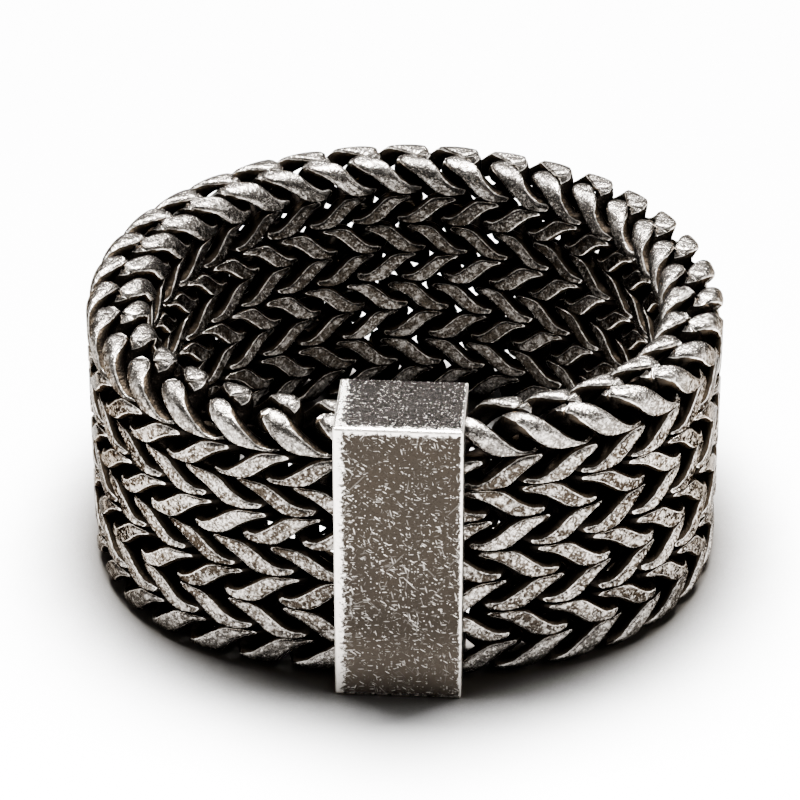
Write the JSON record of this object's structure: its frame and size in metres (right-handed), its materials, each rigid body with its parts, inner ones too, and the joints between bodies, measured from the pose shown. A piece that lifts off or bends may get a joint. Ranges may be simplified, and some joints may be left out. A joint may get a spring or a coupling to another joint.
{
  "type": "woven chain link ring",
  "caption": "Wide finger ring of herringbone-woven steel links whose ends meet in a plain rectangular box.",
  "frame": {"origin": "middle of the part's plan outline, in the plane of the lower rim that the ring lies on", "axes": "+Z along the ring's axis, up from the surface it lies on; the box is on the -Y side"},
  "size_m": [0.0252, 0.0256, 0.0117],
  "materials": {
    "woven_steel": "blackened steel, worn bright on the faces of the links",
    "box_steel": "aged steel, densely scratched, with bright worn edges"
  },
  "bodies": {
    "root": {"woven_band": "woven_steel", "front_box": "box_steel"}
  },
  "joints": []
}
